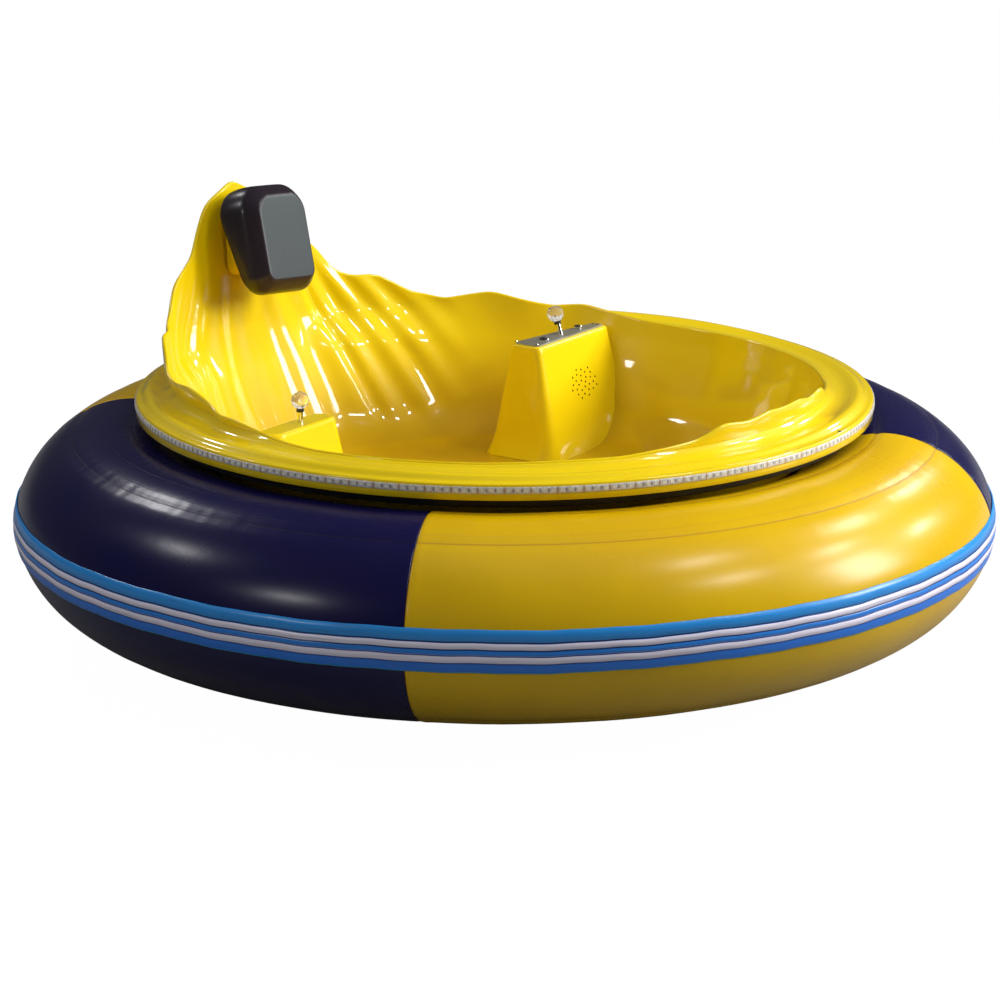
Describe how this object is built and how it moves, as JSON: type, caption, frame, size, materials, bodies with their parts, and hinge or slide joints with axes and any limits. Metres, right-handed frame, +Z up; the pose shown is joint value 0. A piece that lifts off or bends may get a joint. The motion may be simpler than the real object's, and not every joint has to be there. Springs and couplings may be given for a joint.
{
  "type": "inflatable bumper car",
  "caption": "Round inflatable fairground bumper car: fluted yellow shell with a tall back and headrest, joystick consoles, air tube, and a battery chassis on drive wheels and casters.",
  "frame": {"origin": "on the floor, under the centre of the air tube", "axes": "+Z up, the rider faces -Y, +X is the rider's left"},
  "size_m": [2.0064, 2.0064, 0.8581],
  "materials": {
    "tube_yellow": "satin coated fabric",
    "tube_navy": "satin coated fabric",
    "band_print": "printed band in blue and white",
    "valve_black": "moulded",
    "shell_yellow": "high-gloss gel coat",
    "strip_grey": "clear sleeve over small lamps",
    "skirt_black": "matt",
    "plate_steel": "brushed",
    "switch_black": "gloss",
    "switch_metal": "bright",
    "pad_foam": "skinned foam",
    "frame_paint": "satin black paint",
    "battery_case": "moulded",
    "chrome_rod": "bright",
    "collar_black": "moulded",
    "ball_clear": "clear faceted acrylic",
    "motor_paint": "satin",
    "tyre_black": "solid rubber",
    "hub_cast": "cast",
    "zinc_steel": "zinc plated",
    "caster_tyre": "solid",
    "caster_hub": "moulded"
  },
  "bodies": {
    "root": {"tube_rear_yellow": "tube_yellow", "tube_front_yellow": "tube_yellow", "tube_right_navy": "tube_navy", "tube_left_navy": "tube_navy", "rub_band": "band_print", "tube_valve": "valve_black", "tub": "shell_yellow", "deck_moulding": "shell_yellow", "light_strip": "strip_grey", "deck_skirt": "skirt_black", "left_console": "shell_yellow", "right_console": "shell_yellow", "control_plate": "plate_steel", "start_button": "switch_black", "key_switch": "switch_metal", "headrest_pad": "pad_foam", "headrest_base": "shell_yellow", "chassis_ring": "frame_paint", "chassis_frame": "frame_paint", "battery_tray": "frame_paint", "batteries": "battery_case", "left_joystick_rod": "chrome_rod", "left_joystick_collar": "collar_black", "left_joystick_ball": "ball_clear", "left_gear_motor": "motor_paint", "left_motor_bracket": "frame_paint", "right_joystick_rod": "chrome_rod", "right_joystick_collar": "collar_black", "right_joystick_ball": "ball_clear", "right_gear_motor": "motor_paint", "right_motor_bracket": "frame_paint", "front_caster_plate": "zinc_steel", "rear_caster_plate": "zinc_steel"},
    "left_drive_wheel": {"left_drive_tyre": "tyre_black", "left_drive_hub": "hub_cast"},
    "right_drive_wheel": {"right_drive_tyre": "tyre_black", "right_drive_hub": "hub_cast"},
    "front_caster_swivel": {"front_caster_fork": "zinc_steel"},
    "front_caster_wheel": {"front_caster_tyre": "caster_tyre", "front_caster_hub": "caster_hub"},
    "rear_caster_swivel": {"rear_caster_fork": "zinc_steel"},
    "rear_caster_wheel": {"rear_caster_tyre": "caster_tyre", "rear_caster_hub": "caster_hub"}
  },
  "joints": [
    {"name": "left_drive_spin", "type": "hinge", "parent": "root", "child": "left_drive_wheel", "pos_m": [0.4, 0, 0.08], "axis": [1, 0, 0], "continuous": true},
    {"name": "right_drive_spin", "type": "hinge", "parent": "root", "child": "right_drive_wheel", "pos_m": [-0.4, 0, 0.08], "axis": [1, 0, 0], "continuous": true},
    {"name": "front_swivel", "type": "hinge", "parent": "root", "child": "front_caster_swivel", "pos_m": [0, -0.45, 0.12], "axis": [0, 0, 1], "continuous": true},
    {"name": "front_caster_roll", "type": "hinge", "parent": "front_caster_swivel", "child": "front_caster_wheel", "pos_m": [0, -0.418, 0.05], "axis": [1, 0, 0], "continuous": true},
    {"name": "rear_swivel", "type": "hinge", "parent": "root", "child": "rear_caster_swivel", "pos_m": [0, 0.45, 0.12], "axis": [0, 0, 1], "continuous": true},
    {"name": "rear_caster_roll", "type": "hinge", "parent": "rear_caster_swivel", "child": "rear_caster_wheel", "pos_m": [0, 0.482, 0.05], "axis": [1, 0, 0], "continuous": true}
  ]
}
